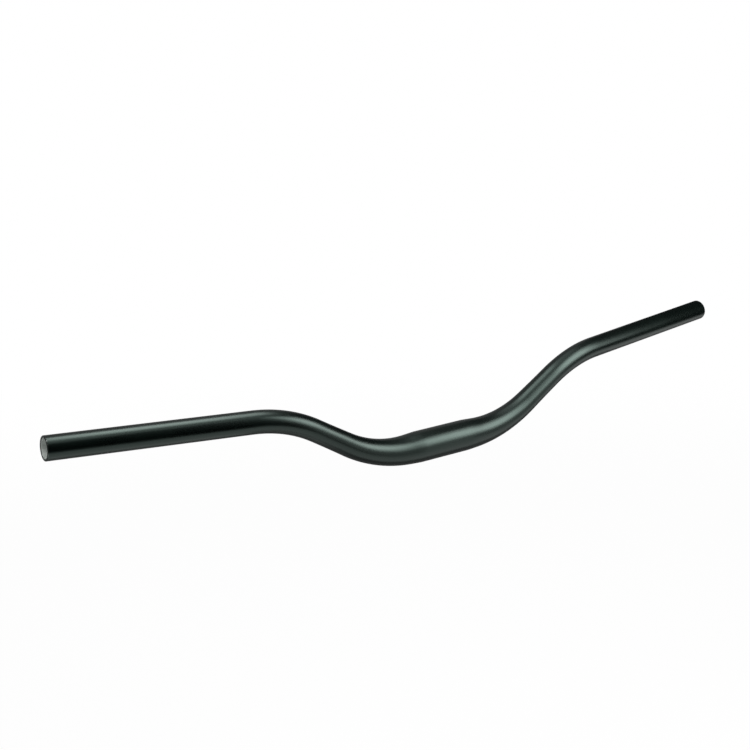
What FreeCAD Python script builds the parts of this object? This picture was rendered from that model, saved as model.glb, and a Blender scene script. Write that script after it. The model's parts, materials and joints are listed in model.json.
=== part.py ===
"""Wide riser handlebar of a mountain bicycle: one butted aluminium tube, drawn thinner and bent.

The bar lies along X, with the middle of its clamp area at the origin. +Z is the way that it rises
and +Y the way that its ends sweep back, towards the rider. All lengths are in millimetres and all
angles in degrees. One half is worked out along its centre line, from the middle to the +X end, and
mirrored: clamp area, tapered shoulder through the inner bend and up the riser, outer bend, grip.
"""
import FreeCAD, Part
import math
import os

# Form of the centre line
WIDTH = 820.0  # from end to end, between the middles of the two end faces
RISE = 73.0  # height of the middle of an end face above the clamp area's axis
BACKSWEEP = 5.3  # turn of a grip towards the rider, seen from above
UPSWEEP = 3.4  # slope of a grip, upwards to its end
RISER_LENGTH = 42.0  # straight stretch between the inner and the outer bend
INNER_BEND_RADIUS = 145.0  # bend from the shoulder up into the riser
OUTER_BEND_RADIUS = 145.0  # bend from the riser out into the grip

# Clamp area, which the stem holds
CLAMP_DIAMETER = 31.8
CLAMP_LENGTH = 56.0  # straight cylinder of full diameter
CLAMP_WALL = 2.6
SHOULDER_LENGTH = 13.8  # straight stretch between the clamp area and the inner bend
SHOULDER_ROUNDING = 5.0  # distance over which the clamp area rounds into the taper

# Grip ends, which carry grips, levers and plugs
GRIP_DIAMETER = 22.2
GRIP_WALL = 2.0
END_CHAMFER = 0.5  # broken outer edge of an end face
BORE_CHAMFER = 0.3  # broken inner edge of an end face

# Fineness of the model
TAPER_SECTIONS = 49  # cross-sections that the taper is drawn through
SLOPE_STEP = 1e-12  # radians, to which the riser's slope is worked out

ORIGIN = FreeCAD.Vector(0, 0, 0)
ALONG = FreeCAD.Vector(1, 0, 0)
REARWARD = FreeCAD.Vector(0, 1, 0)
BACK = math.radians(BACKSWEEP)
UP = math.radians(UPSWEEP)
GRIP_DIRECTION = FreeCAD.Vector(math.cos(UP) * math.cos(BACK), math.cos(UP) * math.sin(BACK), math.sin(UP))
BEND_START = CLAMP_LENGTH / 2 + SHOULDER_LENGTH


class Arm:
    """One half of the centre line, for a given slope of its riser in radians."""

    def __init__(self, slope):
        self.riser_direction = FreeCAD.Vector(math.cos(slope), 0, math.sin(slope))
        self.riser_start = self.inner_bend_point(slope)
        self.riser_end = self.riser_start + self.riser_direction * RISER_LENGTH
        self.turn = self.riser_direction.getAngle(GRIP_DIRECTION)
        tangent_length = OUTER_BEND_RADIUS * math.tan(self.turn / 2)
        self.grip_start = self.riser_end + (self.riser_direction + GRIP_DIRECTION) * tangent_length
        self.grip_length = (WIDTH / 2 - self.grip_start.x) / GRIP_DIRECTION.x
        self.end = self.grip_start + GRIP_DIRECTION * self.grip_length
        self.bend_length = INNER_BEND_RADIUS * slope
        self.taper_length = SHOULDER_LENGTH + self.bend_length + RISER_LENGTH

    def inner_bend_point(self, angle):
        """Point on the inner bend, after it has turned by an angle."""
        x = BEND_START + INNER_BEND_RADIUS * math.sin(angle)
        z = INNER_BEND_RADIUS * (1 - math.cos(angle))
        return FreeCAD.Vector(x, 0, z)

    def taper_station(self, distance):
        """Point and direction of the centre line, at a distance past the end of the clamp area."""
        past_shoulder = distance - SHOULDER_LENGTH
        if past_shoulder <= 0:
            return ALONG * (CLAMP_LENGTH / 2 + distance), ALONG
        if past_shoulder < self.bend_length:
            angle = past_shoulder / INNER_BEND_RADIUS
            return self.inner_bend_point(angle), FreeCAD.Vector(math.cos(angle), 0, math.sin(angle))
        past_bend = past_shoulder - self.bend_length
        return self.riser_start + self.riser_direction * past_bend, self.riser_direction


def solve_arm():
    """The arm whose riser has the slope that brings the end of the bar to its full rise."""
    low = UP
    high = math.pi / 2
    while high - low > SLOPE_STEP:
        middle = (low + high) / 2
        if Arm(middle).end.z < RISE:
            low = middle
        else:
            high = middle
    return Arm(low)


def rounded_distance(distance):
    """Distance past the clamp area, held back near its edge so that the taper sets in smoothly."""
    return math.hypot(distance, SHOULDER_ROUNDING) - SHOULDER_ROUNDING


def circle_across(point, direction, radius):
    """Closed circular wire across the centre line, with its seam on the rider's side."""
    circle = Part.makeCircle(radius)
    turned = FreeCAD.Rotation(REARWARD, FreeCAD.Vector(), direction, "ZXY")
    circle.Placement = FreeCAD.Placement(point, turned)
    return Part.Wire(circle)


def tapered_shoulder(arm, clamp_radius, grip_radius):
    """Solid from the clamp area to the outer bend, which thins quickly at first and then slowly."""
    whole = rounded_distance(arm.taper_length)
    sections = []
    for step in range(TAPER_SECTIONS):
        distance = arm.taper_length * step / (TAPER_SECTIONS - 1)
        share = rounded_distance(distance) / whole
        radius = grip_radius + (clamp_radius - grip_radius) * (1 - share) ** 2
        point, direction = arm.taper_station(distance)
        sections.append(circle_across(point, direction, radius))
    return Part.makeLoft(sections, True)


def outer_bend(arm, radius):
    """Solid of the bend from the riser into the grip."""
    axis = arm.riser_direction.cross(GRIP_DIRECTION).normalize()
    centre = arm.riser_end + axis.cross(arm.riser_direction) * OUTER_BEND_RADIUS
    disc = Part.Face(circle_across(arm.riser_end, arm.riser_direction, radius))
    return disc.revolve(centre, axis, math.degrees(arm.turn))


def bent_rod(arm, clamp_radius, grip_radius):
    """Solid rod along the whole centre line: the outside of the tube, or its bore."""
    clamp = Part.makeCylinder(clamp_radius, CLAMP_LENGTH, ALONG * (-CLAMP_LENGTH / 2), ALONG)
    taper = tapered_shoulder(arm, clamp_radius, grip_radius)
    bend = outer_bend(arm, grip_radius)
    grip = Part.makeCylinder(grip_radius, arm.grip_length, arm.grip_start, GRIP_DIRECTION)
    half = [taper, bend, grip]
    other_half = [piece.mirror(ORIGIN, ALONG) for piece in half]
    return clamp.multiFuse(half + other_half)


def end_edges(tube, outer):
    """Round edges of the two flat end faces: their outer rims, or else their bores."""
    edges = []
    for face in tube.Faces:
        if isinstance(face.Surface, Part.Plane):
            for wire in face.Wires:
                if wire.isSame(face.OuterWire) == outer:
                    edges += wire.Edges
    return edges


def make_handlebar():
    """The whole bar: its outside less its bore, with the edges of its cut ends broken."""
    arm = solve_arm()
    clamp_radius = CLAMP_DIAMETER / 2
    grip_radius = GRIP_DIAMETER / 2
    outside = bent_rod(arm, clamp_radius, grip_radius)
    bore = bent_rod(arm, clamp_radius - CLAMP_WALL, grip_radius - GRIP_WALL)
    tube = outside.cut(bore)
    tube = tube.makeChamfer(END_CHAMFER, end_edges(tube, outer=True))
    return tube.makeChamfer(BORE_CHAMFER, end_edges(tube, outer=False))


os.makedirs("parts", exist_ok=True)
make_handlebar().exportStep("parts/handlebar.step")
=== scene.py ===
"""Looks of a wide riser handlebar: one bent, butted aluminium tube, satin black with a bare bore.

The skin, the two cut ends and the bore are one closed mesh of quads. It follows the centre line that the
frame's mounts fix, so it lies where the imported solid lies. Lengths are in metres, and angles in radians
unless a name says degrees. +X runs along the clamp area, +Y towards the rider and +Z the way the bar rises.
"""

import json
import logging
import math
from dataclasses import dataclass, field
from enum import Enum, IntEnum
from functools import cached_property

import bpy
from mathutils import Euler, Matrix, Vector


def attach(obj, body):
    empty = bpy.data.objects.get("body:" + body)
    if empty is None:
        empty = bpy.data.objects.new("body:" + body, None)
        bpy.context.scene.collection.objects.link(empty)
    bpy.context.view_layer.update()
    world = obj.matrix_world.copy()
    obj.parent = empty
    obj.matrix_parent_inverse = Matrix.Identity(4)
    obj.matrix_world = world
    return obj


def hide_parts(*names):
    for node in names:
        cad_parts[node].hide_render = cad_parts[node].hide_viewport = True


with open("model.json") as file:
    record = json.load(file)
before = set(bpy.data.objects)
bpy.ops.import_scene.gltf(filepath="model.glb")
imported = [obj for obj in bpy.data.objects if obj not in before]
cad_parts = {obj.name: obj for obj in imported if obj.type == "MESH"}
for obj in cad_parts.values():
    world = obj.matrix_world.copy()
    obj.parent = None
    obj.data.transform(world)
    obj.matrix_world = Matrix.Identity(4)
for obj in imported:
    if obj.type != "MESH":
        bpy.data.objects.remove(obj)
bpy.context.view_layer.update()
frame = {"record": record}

LOG = logging.getLogger("handlebar")
MM = 0.001
PLACE_ATTRIBUTE = "tube_place"
RIM_ATTRIBUTE = "rim"
LAMP_WATTS = 4.0  # power that gives one square metre of lamp the brightness of full white
WHITE = (1.0, 1.0, 1.0, 1.0)

Colour = tuple[float, float, float]
Point = tuple[float, float, float]
Span = tuple[float, float]
Socket = bpy.types.NodeSocket
Source = Socket | float | tuple


@dataclass(frozen=True)
class Mount:
    """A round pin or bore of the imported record."""

    centre: Vector
    axis: Vector
    radius: float
    length: float

    @classmethod
    def named(cls, name: str) -> "Mount":
        """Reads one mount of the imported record.

        Args:
            name: the mount's name in the record.

        Returns:
            The mount, in metres and in the frame's axes.
        """
        found = next(m for m in frame["record"]["mounts"] if m["name"] == name)
        dims = found["dims"]
        return cls(Vector(found["pos_m"]), Vector(found["axis"]), dims["r_mm"] * MM, dims["length_mm"] * MM)

    @property
    def inner_end(self) -> Vector:
        """The end of the mount's axis that is nearer to the middle of the bar."""
        return self.centre - self.axis * (self.length / 2)


@dataclass(frozen=True)
class Stretch:
    """A straight or evenly bent length of the centre line."""

    start: Vector
    heading: Vector
    length: float
    inward: Vector = field(default_factory=Vector)
    radius: float = math.inf

    def at(self, distance: float) -> tuple[Vector, Vector]:
        """Follows the stretch.

        Args:
            distance: how far along the stretch, from its start.

        Returns:
            The point there, and the unit vector that the line heads along.
        """
        if math.isinf(self.radius):
            return self.start + self.heading * distance, self.heading
        angle = distance / self.radius
        step = self.heading * math.sin(angle) + self.inward * (1 - math.cos(angle))
        turned = self.heading * math.cos(angle) + self.inward * math.sin(angle)
        return self.start + step * self.radius, turned


@dataclass(frozen=True)
class CentreLine:
    """Line that the tube follows from the middle of the clamp area to the +X end, and mirrored to the other.

    The mounts fix the clamp area and the grip. The shoulder and the inner bend's radius fix the rest: the
    riser's slope follows from where the grip's line meets the plane of the risers.
    """

    clamp: Mount
    grip: Mount
    end_trim: float
    shoulder_length: float = 13.8 * MM
    inner_bend_radius: float = 145.0 * MM

    @property
    def clamp_half(self) -> float:
        """Half the length of the clamp area."""
        return self.clamp.length / 2

    @property
    def bend_start(self) -> float:
        """Distance from the middle to the inner bend."""
        return self.clamp_half + self.shoulder_length

    @cached_property
    def stretches(self) -> list[Stretch]:
        """Clamp area with its shoulder, inner bend, riser, outer bend and grip, in that order."""
        along = Vector((1, 0, 0))
        up = Vector((0, 0, 1))
        radius = self.inner_bend_radius
        grip_start = self.grip.inner_end
        heading = self.grip.axis
        tangent = grip_start.y / heading.y
        corner = grip_start - heading * tangent
        reach = corner.x - self.bend_start
        spare = 2 * radius - corner.z
        slope = 2 * math.atan((reach - math.sqrt(reach ** 2 - corner.z * spare)) / spare)
        middle = Stretch(Vector(), along, self.bend_start)
        inner = Stretch(along * self.bend_start, along, radius * slope, up, radius)
        riser_start, climb = inner.at(inner.length)
        riser_end = corner - climb * tangent
        riser = Stretch(riser_start, climb, (riser_end - riser_start).length)
        turn = climb.angle(heading)
        outer_radius = tangent / math.tan(turn / 2)
        inward = (heading - climb * climb.dot(heading)).normalized()
        outer = Stretch(riser_end, climb, outer_radius * turn, inward, outer_radius)
        grip = Stretch(grip_start, heading, self.grip.length + self.end_trim)
        return [middle, inner, riser, outer, grip]

    @cached_property
    def length(self) -> float:
        """Length of one half, from the middle to the end face."""
        return sum(stretch.length for stretch in self.stretches)

    @cached_property
    def taper_end(self) -> float:
        """Distance from the middle to the outer bend, where the tube has thinned to the grip's size."""
        middle, inner, riser, *_ = self.stretches
        return middle.length + inner.length + riser.length

    @cached_property
    def grip_start(self) -> float:
        """Distance from the middle to the straight grip."""
        *_, outer, _ = self.stretches
        return self.taper_end + outer.length

    def at(self, distance: float) -> tuple[Vector, Vector]:
        """Follows the whole line.

        Args:
            distance: how far from the middle, negative towards the -X end.

        Returns:
            The point there, and the unit vector that the line heads along, from -X to +X.
        """
        left = abs(distance)
        for stretch in self.stretches:
            if left <= stretch.length or stretch is self.stretches[-1]:
                break
            left -= stretch.length
        point, heading = stretch.at(left)
        if distance < 0:
            return Vector((-point.x, point.y, point.z)), Vector((heading.x, -heading.y, -heading.z))
        return point, heading


class Zone(IntEnum):
    """Finish of a stretch of the tube's surface, which is also its material slot."""

    SKIN = 0
    BORE = 1


@dataclass(frozen=True)
class Ring:
    """One ring of vertices across the centre line.

    Its zone is that of the faces up to the next ring. Its rim is 1 on the crest of a softened edge, and 0
    away from such edges.
    """

    distance: float
    radius: float
    zone: Zone
    rim: float = 0.0

    def mirrored(self, zone: Zone) -> "Ring":
        """The same ring at the other end of the bar."""
        return Ring(-self.distance, self.radius, zone, self.rim)


@dataclass(frozen=True)
class HandlebarTube:
    """The bar itself: its skin, cut ends and bore."""

    line: CentreLine
    clamp_radius: float
    grip_radius: float
    grip_bore: float
    end_chamfer: float
    clamp_wall: float = 2.6 * MM
    shoulder_rounding: float = 5.0 * MM
    bore_chamfer: float = 0.3 * MM
    edge_softness: float = 0.12 * MM
    corner_steps: int = 4
    vertices_around: int = 96
    bend_step: float = 2.0 * MM
    straight_step: float = 6.0 * MM
    bore_coarseness: float = 2.0

    @classmethod
    def from_frame(cls, end_chamfer: float = 0.5 * MM) -> "HandlebarTube":
        """Takes the bar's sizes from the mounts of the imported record.

        Args:
            end_chamfer: width of the broken outer edge, by which the grip's mount stops short of the end.

        Returns:
            The bar, ready to be built.
        """
        clamp = Mount.named("stem_clamp")
        grip = Mount.named("grip_right")
        bore = Mount.named("bar_end_right")
        line = CentreLine(clamp, grip, end_chamfer)
        return cls(line, clamp.radius, grip.radius, bore.radius, end_chamfer)

    def rounded(self, distance: float) -> float:
        """Distance past the clamp area, held back near its edge so that the taper sets in smoothly."""
        return math.hypot(distance, self.shoulder_rounding) - self.shoulder_rounding

    def thinned(self, distance: float, clamp_radius: float, grip_radius: float) -> float:
        """Radius that thins from the clamp area to the grip, quickly at first and then slowly.

        Args:
            distance: place along the bar, from its middle.
            clamp_radius: radius along the clamp area.
            grip_radius: radius from the outer bend to the end.

        Returns:
            The radius at that place.
        """
        whole = self.line.taper_end - self.line.clamp_half
        past = min(max(abs(distance) - self.line.clamp_half, 0.0), whole)
        left = 1 - self.rounded(past) / self.rounded(whole)
        return grip_radius + (clamp_radius - grip_radius) * left ** 2

    def places(self, end: float, coarseness: float) -> list[float]:
        """Places of the rings between the two ends, close together where the tube bends or thins.

        Args:
            end: place of the last ring, on the +X side.
            coarseness: factor on the usual spacing of the rings.

        Returns:
            Distances from the middle, from the -X side to the +X side.
        """
        marks = [0.0, self.line.clamp_half, self.line.grip_start, end]
        steps = [self.straight_step, self.bend_step, self.straight_step]
        half = []
        for first, last, step in zip(marks, marks[1:], steps):
            count = math.ceil((last - first) / (step * coarseness))
            half += [first + (last - first) * k / count for k in range(count)]
        half.append(end)
        return [-place for place in reversed(half[1:])] + half

    def wall(self, places: list[float], clamp_radius: float, grip_radius: float, zone: Zone) -> list[Ring]:
        """Rings of the skin or of the bore, between the cut ends.

        Args:
            places: distances of the rings from the middle.
            clamp_radius: radius along the clamp area.
            grip_radius: radius from the outer bend to the end.
            zone: the wall's finish.

        Returns:
            One ring at each place.
        """
        return [Ring(place, self.thinned(place, clamp_radius, grip_radius), zone) for place in places]

    def end_rings(self) -> list[Ring]:
        """Rings of the +X end, from the skin round its softened edges into the bore."""
        end = self.line.length
        corners = [
            (end - self.end_chamfer, self.grip_radius),
            (end, self.grip_radius - self.end_chamfer),
            (end, self.grip_bore + self.bore_chamfer),
            (end - self.bore_chamfer, self.grip_bore),
        ]
        before = (end - 2 * self.end_chamfer, self.grip_radius)
        after = (end - 2 * self.bore_chamfer, self.grip_bore)
        rings = []
        for previous, corner, following in zip([before, *corners], corners, [*corners[1:], after]):
            rings += self.softened(Vector(previous), Vector(corner), Vector(following))
        return rings

    def softened(self, previous: Vector, corner: Vector, following: Vector) -> list[Ring]:
        """Rounds one corner of the cut end's profile, whose points are (place along the bar, radius).

        Args:
            previous: the profile's point before the corner.
            corner: the sharp corner.
            following: the profile's point after the corner.

        Returns:
            Rings along a short curve from one side of the corner to the other.
        """
        first = corner + (previous - corner).normalized() * self.edge_softness
        last = corner + (following - corner).normalized() * self.edge_softness
        rings = []
        for step in range(self.corner_steps + 1):
            share = step / self.corner_steps
            point = first.lerp(corner, share).lerp(corner.lerp(last, share), share)
            rings.append(Ring(point.x, point.y, Zone.SKIN, 4 * share * (1 - share)))
        return rings

    def rings(self) -> list[Ring]:
        """All rings in one closed loop: along the skin, in at the +X end, back along the bore, out at -X."""
        end = self.end_rings()
        skin_places = self.places(end[0].distance - self.edge_softness, 1.0)
        bore_places = self.places(end[-1].distance - self.edge_softness, self.bore_coarseness)
        clamp_bore = self.clamp_radius - self.clamp_wall
        skin = self.wall(skin_places, self.clamp_radius, self.grip_radius, Zone.SKIN)
        bore = self.wall(bore_places[::-1], clamp_bore, self.grip_bore, Zone.BORE)
        near_end = [*end[:-1], Ring(end[-1].distance, end[-1].radius, Zone.BORE)]
        far_end = [ring.mirrored(Zone.SKIN) for ring in reversed(end)]
        return [*skin, *near_end, *bore, *far_end]

    def mesh(self) -> bpy.types.Mesh:
        """Builds the closed mesh.

        Returns:
            A mesh of quads. Its attributes give each vertex's place on the straightened tube, and how near
            it is to the crest of an edge.
        """
        rings = self.rings()
        count = self.vertices_around
        points, places, rims, faces, zones = [], [], [], [], []
        rearward = Vector((0, 1, 0))
        for number, ring in enumerate(rings):
            centre, heading = self.line.at(ring.distance)
            side = (rearward - heading * rearward.dot(heading)).normalized()
            top = heading.cross(side)
            following = (number + 1) % len(rings)
            for step in range(count):
                angle = 2 * math.pi * step / count
                across = ring.radius * math.cos(angle)
                over = ring.radius * math.sin(angle)
                points.append(centre + side * across + top * over)
                places += (across, over, ring.distance)
                rims.append(ring.rim)
                beside = (step + 1) % count
                corners = ((number, step), (number, beside), (following, beside), (following, step))
                faces.append([row * count + column for row, column in corners])
                zones.append(ring.zone)
        mesh = bpy.data.meshes.new("handlebar_tube")
        mesh.from_pydata(points, [], faces)
        mesh.attributes.new(PLACE_ATTRIBUTE, "FLOAT_VECTOR", "POINT").data.foreach_set("vector", places)
        mesh.attributes.new(RIM_ATTRIBUTE, "FLOAT", "POINT").data.foreach_set("value", rims)
        mesh.polygons.foreach_set("material_index", zones)
        mesh.shade_smooth()
        mesh.validate()
        return mesh

    def build(self, effects: "SurfaceEffects") -> bpy.types.Object:
        """Makes the piece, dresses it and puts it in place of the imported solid.

        Args:
            effects: the node groups that its finishes share.

        Returns:
            The finished piece.
        """
        piece = bpy.data.objects.new("handlebar_tube", self.mesh())
        bpy.context.scene.collection.objects.link(piece)
        piece.data.materials.append(SatinBlack().material(effects))
        piece.data.materials.append(BareMetal().material(effects))
        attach(piece, "root")
        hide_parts("handlebar")
        return piece


class NodeSketch:
    """A node tree being filled in, so that a material reads as a list of steps."""

    def __init__(self, tree: bpy.types.NodeTree) -> None:
        """Starts with an empty tree."""
        self.tree = tree
        self.tree.nodes.clear()

    @classmethod
    def of_material(cls, name: str) -> tuple[bpy.types.Material, "NodeSketch"]:
        """Starts a new material.

        Args:
            name: the material's name.

        Returns:
            The material, and the sketch of its nodes.
        """
        made = bpy.data.materials.new(name)
        made.use_nodes = True
        return made, cls(made.node_tree)

    def node(self, kind: str, **settings: object) -> bpy.types.Node:
        """Adds a node.

        Args:
            kind: the type of the node, without its prefix.
            settings: properties of the node, such as its operation.

        Returns:
            The new node.
        """
        made = self.tree.nodes.new("ShaderNode" + kind)
        for name, value in settings.items():
            setattr(made, name, value)
        return made

    def feed(self, socket: Socket, source: Source) -> None:
        """Links a socket to another node's output, or sets a plain value on it.

        Args:
            socket: the input that is fed.
            source: an output socket, a number or a colour.
        """
        if isinstance(source, Socket):
            self.tree.links.new(source, socket)
        else:
            socket.default_value = source

    def maths(self, operation: str, first: Source, second: Source) -> Socket:
        """Adds one step of arithmetic.

        Args:
            operation: the operation of a Math node.
            first: its first term.
            second: its second term.

        Returns:
            The result's socket.
        """
        made = self.node("Math", operation=operation)
        self.feed(made.inputs[0], first)
        self.feed(made.inputs[1], second)
        return made.outputs["Value"]

    def spread(self, value: Source, source: Span, target: Span) -> Socket:
        """Maps a value smoothly from one range to another.

        Args:
            value: the value to map.
            source: the range that it comes from.
            target: the range that it goes to.

        Returns:
            The mapped value's socket.
        """
        made = self.node("MapRange", interpolation_type="SMOOTHSTEP")
        names = ("Value", "From Min", "From Max", "To Min", "To Max")
        for name, term in zip(names, (value, *source, *target)):
            self.feed(made.inputs[name], term)
        return made.outputs["Result"]

    def blend(self, share: Source, first: Source, second: Source) -> Socket:
        """Mixes two colours.

        Args:
            share: how much of the second colour shows.
            first: the colour where the share is 0.
            second: the colour where the share is 1.

        Returns:
            The mixed colour's socket.
        """
        made = self.node("MixRGB")
        self.feed(made.inputs["Fac"], share)
        self.feed(made.inputs["Color1"], first)
        self.feed(made.inputs["Color2"], second)
        return made.outputs["Color"]

    def noise(self, place: Source, size: Source, detail: float) -> Socket:
        """Adds a cloudy pattern.

        Args:
            place: the place on the surface.
            size: how broad a cloud is.
            detail: how many finer layers the clouds have.

        Returns:
            The pattern's socket, from 0 to 1.
        """
        made = self.node("TexNoise")
        self.feed(made.inputs["Vector"], place)
        self.feed(made.inputs["Scale"], self.maths("DIVIDE", 1.0, size))
        self.feed(made.inputs["Detail"], detail)
        return made.outputs["Fac"]

    def bump(self, height: Source, depth: float) -> Socket:
        """Adds a fine relief.

        Args:
            height: the relief's height, as a share of its depth.
            depth: how deep it is.

        Returns:
            The socket of the normal that it bends.
        """
        made = self.node("Bump")
        self.feed(made.inputs["Distance"], depth)
        self.feed(made.inputs["Height"], height)
        return made.outputs["Normal"]

    def effect(self, group: bpy.types.NodeTree, **inputs: Source) -> Socket:
        """Places a node group of SurfaceEffects.

        Args:
            group: the node group.
            inputs: what its named inputs are fed with.

        Returns:
            The socket of its one output.
        """
        made = self.node("Group", node_tree=group)
        for name, source in inputs.items():
            self.feed(made.inputs[name], source)
        return made.outputs[0]

    def attribute(self, name: str) -> bpy.types.Node:
        """Adds a node that reads one of the mesh's attributes."""
        return self.node("Attribute", attribute_name=name)

    def surface(self, shader: Socket) -> None:
        """Shows a shader on the material's surface."""
        self.feed(self.node("OutputMaterial").inputs["Surface"], shader)


class SocketKind(Enum):
    """Kinds of socket that the node groups have."""

    NUMBER = "NodeSocketFloat"
    VECTOR = "NodeSocketVector"


class SurfaceEffects:
    """Node groups of the tube's finishes, each built once."""

    GRAIN_DETAIL = 2.0
    MARK_DETAIL = 3.0
    MOTTLE_DETAIL = 4.0
    MOTTLE_EDGES = (0.35, 0.65)
    WEAR_DETAIL = 3.0
    WEAR_EDGES = (0.4, 0.6)

    def __init__(self) -> None:
        """Builds the groups."""
        self.grain = self.build_grain()
        self.draw_marks = self.build_draw_marks()
        self.mottle = self.build_mottle()
        self.edge_wear = self.build_edge_wear()

    @staticmethod
    def start(
        name: str, inputs: dict[str, SocketKind], output: str
    ) -> tuple[NodeSketch, bpy.types.Node, bpy.types.Node]:
        """Starts a node group.

        Args:
            name: the group's name.
            inputs: the kinds of its inputs, by name.
            output: the name of its one output, which is a number.

        Returns:
            The sketch of its tree, the node with its inputs and the node with its output.
        """
        tree = bpy.data.node_groups.new(name, "ShaderNodeTree")
        for label, kind in inputs.items():
            tree.interface.new_socket(label, in_out="INPUT", socket_type=kind.value)
        tree.interface.new_socket(output, in_out="OUTPUT", socket_type=SocketKind.NUMBER.value)
        sketch = NodeSketch(tree)
        return sketch, tree.nodes.new("NodeGroupInput"), tree.nodes.new("NodeGroupOutput")

    def build_grain(self) -> bpy.types.NodeTree:
        """Fine even grain of a blasted or coated surface: Height is 0 to 1."""
        inputs = {"Place": SocketKind.VECTOR, "Size": SocketKind.NUMBER}
        sketch, given, result = self.start("fine_grain", inputs, "Height")
        grain = sketch.noise(given.outputs["Place"], given.outputs["Size"], self.GRAIN_DETAIL)
        sketch.feed(result.inputs["Height"], grain)
        return sketch.tree

    def build_draw_marks(self) -> bpy.types.NodeTree:
        """Faint lines along the tube, left where it was drawn through its die: Height is 0 to 1."""
        inputs = {"Place": SocketKind.VECTOR, "Pitch": SocketKind.NUMBER, "Stretch": SocketKind.NUMBER}
        sketch, given, result = self.start("draw_marks", inputs, "Height")
        parts = sketch.node("SeparateXYZ")
        sketch.feed(parts.inputs["Vector"], given.outputs["Place"])
        drawn = sketch.node("CombineXYZ")
        sketch.feed(drawn.inputs["X"], parts.outputs["X"])
        sketch.feed(drawn.inputs["Y"], parts.outputs["Y"])
        sketch.feed(drawn.inputs["Z"], sketch.maths("DIVIDE", parts.outputs["Z"], given.outputs["Stretch"]))
        lines = sketch.noise(drawn.outputs["Vector"], given.outputs["Pitch"], self.MARK_DETAIL)
        sketch.feed(result.inputs["Height"], lines)
        return sketch.tree

    def build_mottle(self) -> bpy.types.NodeTree:
        """Broad, soft patches of slightly different finish: Mask is 0 to 1."""
        inputs = {"Place": SocketKind.VECTOR, "Size": SocketKind.NUMBER}
        sketch, given, result = self.start("mottle", inputs, "Mask")
        clouds = sketch.noise(given.outputs["Place"], given.outputs["Size"], self.MOTTLE_DETAIL)
        sketch.feed(result.inputs["Mask"], sketch.spread(clouds, self.MOTTLE_EDGES, (0.0, 1.0)))
        return sketch.tree

    def build_edge_wear(self) -> bpy.types.NodeTree:
        """Spots along the rims where handling has rubbed the surface: Mask is 0 to 1."""
        inputs = {"Rim": SocketKind.NUMBER, "Place": SocketKind.VECTOR, "Size": SocketKind.NUMBER}
        sketch, given, result = self.start("edge_wear", inputs, "Mask")
        spots = sketch.noise(given.outputs["Place"], given.outputs["Size"], self.WEAR_DETAIL)
        rubbed = sketch.maths("MULTIPLY", given.outputs["Rim"], spots)
        sketch.feed(result.inputs["Mask"], sketch.spread(rubbed, self.WEAR_EDGES, (0.0, 1.0)))
        return sketch.tree


@dataclass(frozen=True)
class SatinBlack:
    """Satin black coat of the outside and of the cut ends."""

    deep: Colour = (0.0003, 0.0013, 0.0011)
    pale: Colour = (0.0006, 0.0021, 0.0017)
    rubbed: Colour = (0.35, 0.36, 0.355)
    tint: Colour = (0.75, 1.0, 0.90)
    smooth: float = 0.27
    dull: float = 0.285
    ior: float = 1.5
    grain_size: float = 0.30 * MM
    grain_depth: float = 0.0015 * MM
    mark_pitch: float = 0.60 * MM
    mark_stretch: float = 90.0
    mark_share: float = 0.10
    mottle_size: float = 40.0 * MM
    wear_size: float = 3.0 * MM

    def material(self, effects: SurfaceEffects) -> bpy.types.Material:
        """Makes the coat's material.

        Args:
            effects: the node groups that the finishes share.

        Returns:
            The material.
        """
        made, sketch = NodeSketch.of_material("satin_black")
        place = sketch.attribute(PLACE_ATTRIBUTE).outputs["Vector"]
        rim = sketch.attribute(RIM_ATTRIBUTE).outputs["Fac"]
        mottle = sketch.effect(effects.mottle, Place=place, Size=self.mottle_size)
        grain = sketch.effect(effects.grain, Place=place, Size=self.grain_size)
        marks = {"Pitch": self.mark_pitch, "Stretch": self.mark_stretch}
        lines = sketch.effect(effects.draw_marks, Place=place, **marks)
        wear = sketch.effect(effects.edge_wear, Rim=rim, Place=place, Size=self.wear_size)
        coat = sketch.blend(mottle, (*self.deep, 1.0), (*self.pale, 1.0))
        height = sketch.maths("ADD", grain, sketch.maths("MULTIPLY", lines, self.mark_share))
        shader = sketch.node("BsdfPrincipled")
        sketch.feed(shader.inputs["Base Color"], sketch.blend(wear, coat, (*self.rubbed, 1.0)))
        sketch.feed(shader.inputs["Metallic"], wear)
        sketch.feed(shader.inputs["Roughness"], sketch.spread(mottle, (0.0, 1.0), (self.smooth, self.dull)))
        sketch.feed(shader.inputs["IOR"], self.ior)
        sketch.feed(shader.inputs["Specular Tint"], (*self.tint, 1.0))
        sketch.feed(shader.inputs["Normal"], sketch.bump(height, self.grain_depth))
        sketch.surface(shader.outputs["BSDF"])
        return made


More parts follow.
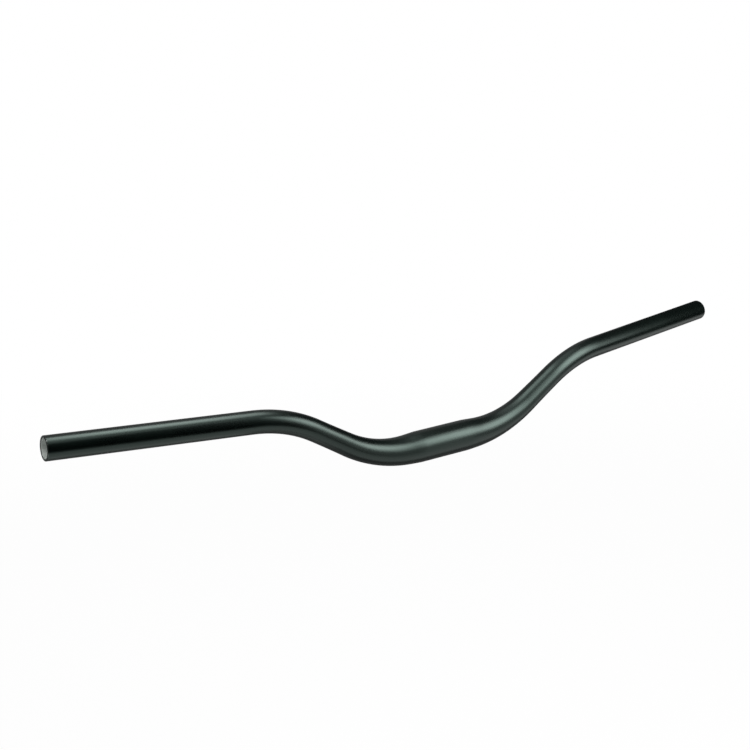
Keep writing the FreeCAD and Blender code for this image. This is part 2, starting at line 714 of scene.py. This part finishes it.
@dataclass(frozen=True)
class BareMetal:
    """Bare drawn aluminium of the bore, a little dulled by oxide."""

    bright: Colour = (0.78, 0.82, 0.79)
    dulled: Colour = (0.60, 0.64, 0.61)
    metal: float = 0.45
    smooth: float = 0.42
    dull: float = 0.55
    mark_pitch: float = 0.45 * MM
    mark_stretch: float = 60.0
    mark_depth: float = 0.02 * MM
    grain_size: float = 0.25 * MM
    grain_share: float = 0.3
    mottle_size: float = 9.0 * MM

    def material(self, effects: SurfaceEffects) -> bpy.types.Material:
        """Makes the bare metal's material.

        Args:
            effects: the node groups that the finishes share.

        Returns:
            The material.
        """
        made, sketch = NodeSketch.of_material("bare_aluminium")
        place = sketch.attribute(PLACE_ATTRIBUTE).outputs["Vector"]
        mottle = sketch.effect(effects.mottle, Place=place, Size=self.mottle_size)
        grain = sketch.effect(effects.grain, Place=place, Size=self.grain_size)
        marks = {"Pitch": self.mark_pitch, "Stretch": self.mark_stretch}
        lines = sketch.effect(effects.draw_marks, Place=place, **marks)
        metal = sketch.blend(mottle, (*self.bright, 1.0), (*self.dulled, 1.0))
        height = sketch.maths("ADD", lines, sketch.maths("MULTIPLY", grain, self.grain_share))
        shader = sketch.node("BsdfPrincipled")
        sketch.feed(shader.inputs["Base Color"], metal)
        sketch.feed(shader.inputs["Metallic"], self.metal)
        sketch.feed(shader.inputs["Roughness"], sketch.spread(mottle, (0.0, 1.0), (self.smooth, self.dull)))
        sketch.feed(shader.inputs["Normal"], sketch.bump(height, self.mark_depth))
        sketch.surface(shader.outputs["BSDF"])
        return made


def rectangle(name: str, width: float, height: float) -> bpy.types.Mesh:
    """Makes a flat rectangle.

    Args:
        name: the mesh's name.
        width: its size along X.
        height: its size along Y.

    Returns:
        The mesh, with its middle at the origin and its front towards +Z.
    """
    across, over = width / 2, height / 2
    mesh = bpy.data.meshes.new(name)
    corners = [(-across, -over, 0), (across, -over, 0), (across, over, 0), (-across, over, 0)]
    mesh.from_pydata(corners, [], [(0, 1, 2, 3)])
    return mesh


@dataclass(frozen=True)
class Panel:
    """A flat rectangle near the bar."""

    name: str
    centre: Point
    aim: Point
    width: float
    height: float

    def stand(self, thing: bpy.types.Object) -> None:
        """Puts a lamp or a card in the panel's place, with its front towards the aim."""
        thing.location = self.centre
        backward = Vector(self.centre) - Vector(self.aim)
        thing.rotation_euler = backward.to_track_quat("Z", "Y").to_euler()
        bpy.context.scene.collection.objects.link(thing)


@dataclass(frozen=True)
class SoftBox(Panel):
    """A large soft lamp, as bright as a white card of so many times full white."""

    brightness: float

    def place(self) -> bpy.types.Object:
        """Makes the lamp."""
        lamp = bpy.data.lights.new(self.name, "AREA")
        lamp.shape = "RECTANGLE"
        lamp.size = self.width
        lamp.size_y = self.height
        lamp.energy = self.brightness * self.width * self.height * LAMP_WATTS
        thing = bpy.data.objects.new(self.name, lamp)
        thing.visible_camera = False
        self.stand(thing)
        return thing


@dataclass(frozen=True)
class PaintedReflectionCard(Panel):
    """A glowing card that only reflections show: a painted reflection of dim surroundings, like the dark
    cards set round a glossy thing in a studio.
    """

    shade: float

    def place(self) -> bpy.types.Object:
        """Makes the card."""
        mesh = rectangle(self.name, self.width, self.height)
        mesh.materials.append(self.material())
        card = bpy.data.objects.new(self.name, mesh)
        card.visible_camera = False
        card.visible_diffuse = False
        card.visible_shadow = False
        self.stand(card)
        return card

    def material(self) -> bpy.types.Material:
        """Makes the card's material, which glows at its shade in any light, as a painted reflection."""
        made, sketch = NodeSketch.of_material(self.name)
        glow = sketch.node("Emission")
        sketch.feed(glow.inputs["Color"], (self.shade, self.shade, self.shade, 1.0))
        sketch.surface(glow.outputs["Emission"])
        return made


def background_ray(sketch: NodeSketch) -> Socket:
    """Adds a mask of the rays that show the background.

    Args:
        sketch: the nodes of the floor or of the world.

    Returns:
        The mask's socket: 1 for rays to the camera, in gloss and through glass, and 0 for the light itself.
    """
    path = sketch.node("LightPath")
    gloss = sketch.maths("MAXIMUM", path.outputs["Is Glossy Ray"], path.outputs["Is Transmission Ray"])
    return sketch.maths("MAXIMUM", path.outputs["Is Camera Ray"], gloss)


@dataclass(frozen=True)
class Studio:
    """Pale floor, white background and soft light round the bar.

    A box's core is a smaller lamp just in front of it. It brightens part of the box's reflection, so that
    the highlight has soft edges.
    """

    floor_drop: float = 0.40
    floor_width: float = 12.0
    floor_colour: Colour = (0.92, 0.92, 0.92)
    floor_glow_near: float = 0.97
    fade_start: float = 0.9
    fade_end: float = 2.0
    ambient: float = 0.35
    boxes: tuple[SoftBox, ...] = (
        SoftBox("overhead_box", (-0.05, 0.03, 0.55), (-0.05, 0.03, 0.0), 0.40, 0.31, brightness=2.55),
        SoftBox("overhead_core", (-0.13, 0.05, 0.54), (-0.13, 0.05, 0.0), 0.265, 0.21, brightness=1.7),
        SoftBox("side_box", (0.409, -0.394, 0.315), (0.0, 0.0, 0.0), 0.44, 0.52, brightness=2.7),
        SoftBox("side_core", (0.415, -0.380, 0.304), (0.0, 0.0, 0.0), 0.25, 0.28, brightness=3.0),
        SoftBox("end_box", (-0.75, -0.10, 0.95), (-0.41, 0.02, 0.07), 0.30, 0.30, brightness=9.0),
    )
    # Painted reflections: glowing cards that only gloss sees, dimmer than the white background.
    cards: tuple[PaintedReflectionCard, ...] = (
        PaintedReflectionCard("front_card", (-0.215, -0.7, 0.0), (-0.215, 0.0, 0.0), 1.05, 1.8, shade=0.0),
        PaintedReflectionCard("right_card", (1.25, 0.35, 0.97), (0.0, 0.35, 0.97), 3.0, 2.74, shade=0.02),
        PaintedReflectionCard("upper_right_card", (1.24, 0.35, 1.745), (0.0, 0.35, 1.745), 3.0, 1.19, shade=0.12),
        PaintedReflectionCard("left_card", (-1.25, 0.35, 0.97), (0.0, 0.35, 0.97), 3.0, 2.74, shade=0.16),
        PaintedReflectionCard("back_card", (0.25, 1.0, 0.62), (0.25, 0.0, 0.62), 2.7, 2.84, shade=0.26),
        PaintedReflectionCard("under_card", (0.213, 0.12, -0.20), (0.213, 0.12, 0.0), 0.67, 0.37, shade=0.18),
        PaintedReflectionCard("low_card", (0.2, 0.51, -0.30), (0.2, 0.51, 0.0), 1.9, 0.92, shade=0.25),
    )

    def set_up(self) -> None:
        """Builds the floor, the background, the lamps and the cards."""
        self.lay_floor()
        self.paint_world()
        for item in (*self.boxes, *self.cards):
            LOG.info("placed %s", item.place().name)
        bpy.context.scene.view_settings.view_transform = "Standard"

    def lay_floor(self) -> None:
        """Lays the floor, well below the bar, which its clamp area holds up."""
        mesh = rectangle("floor", self.floor_width, self.floor_width)
        mesh.materials.append(self.floor_material())
        floor = bpy.data.objects.new("floor", mesh)
        floor.location.z = -self.floor_drop
        bpy.context.scene.collection.objects.link(floor)

    def floor_material(self) -> bpy.types.Material:
        """Makes the floor's material.

        Returns:
            A pale matt floor that fades into the white background, and that can be seen through from below.
        """
        made, sketch = NodeSketch.of_material("pale_floor")
        far = sketch.node("VectorMath", operation="LENGTH")
        sketch.feed(far.inputs[0], sketch.node("TexCoord").outputs["Object"])
        fading = (self.fade_start, self.fade_end)
        glow = sketch.spread(far.outputs["Value"], fading, (self.floor_glow_near, 1.0))
        matt = sketch.node("BsdfDiffuse")
        sketch.feed(matt.inputs["Color"], (*self.floor_colour, 1.0))
        seen = sketch.node("MixShader")
        sketch.feed(seen.inputs["Fac"], sketch.maths("MULTIPLY", glow, background_ray(sketch)))
        sketch.feed(seen.inputs[1], matt.outputs["BSDF"])
        sketch.feed(seen.inputs[2], sketch.node("Emission").outputs["Emission"])
        sides = sketch.node("MixShader")
        sketch.feed(sides.inputs["Fac"], sketch.node("NewGeometry").outputs["Backfacing"])
        sketch.feed(sides.inputs[1], seen.outputs["Shader"])
        sketch.feed(sides.inputs[2], sketch.node("BsdfTransparent").outputs["BSDF"])
        sketch.surface(sides.outputs["Shader"])
        return made

    def paint_world(self) -> None:
        """Makes the world white where it is seen, and a plain soft light elsewhere."""
        world = bpy.data.worlds.new("white_background")
        bpy.context.scene.world = world
        world.use_nodes = True
        sketch = NodeSketch(world.node_tree)
        seen = sketch.node("MixShader")
        sketch.feed(seen.inputs["Fac"], background_ray(sketch))
        for number, strength in ((1, self.ambient), (2, 1.0)):
            light = sketch.node("Background")
            sketch.feed(light.inputs["Color"], WHITE)
            sketch.feed(light.inputs["Strength"], strength)
            sketch.feed(seen.inputs[number], light.outputs["Background"])
        sketch.feed(sketch.node("OutputWorld").inputs["Surface"], seen.outputs["Shader"])


@dataclass(frozen=True)
class PhotoCamera:
    """Camera that looks down on the bar from the front, beyond its -X end."""

    eye: Point = (-0.81663, -1.01587, 0.40165)
    pitch_degrees: float = 75.737
    roll_degrees: float = 1.728
    yaw_degrees: float = -36.384
    focal_length_mm: float = 64.48
    sensor_width_mm: float = 36.0

    def place(self) -> None:
        """Makes the camera and gives it to the scene."""
        data = bpy.data.cameras.new("photo_camera")
        data.lens = self.focal_length_mm
        data.sensor_width = self.sensor_width_mm
        camera = bpy.data.objects.new("photo_camera", data)
        camera.location = self.eye
        turns = (self.pitch_degrees, self.roll_degrees, self.yaw_degrees)
        camera.rotation_euler = Euler([math.radians(turn) for turn in turns], "XYZ")
        bpy.context.scene.collection.objects.link(camera)
        bpy.context.scene.camera = camera


def main() -> None:
    """Builds the bar, sets up the studio and places the camera."""
    logging.basicConfig(level=logging.INFO, format="%(name)s: %(message)s")
    piece = HandlebarTube.from_frame().build(SurfaceEffects())
    LOG.info("built %s with %d faces", piece.name, len(piece.data.polygons))
    Studio().set_up()
    PhotoCamera().place()


if __name__ == "__main__":
    main()
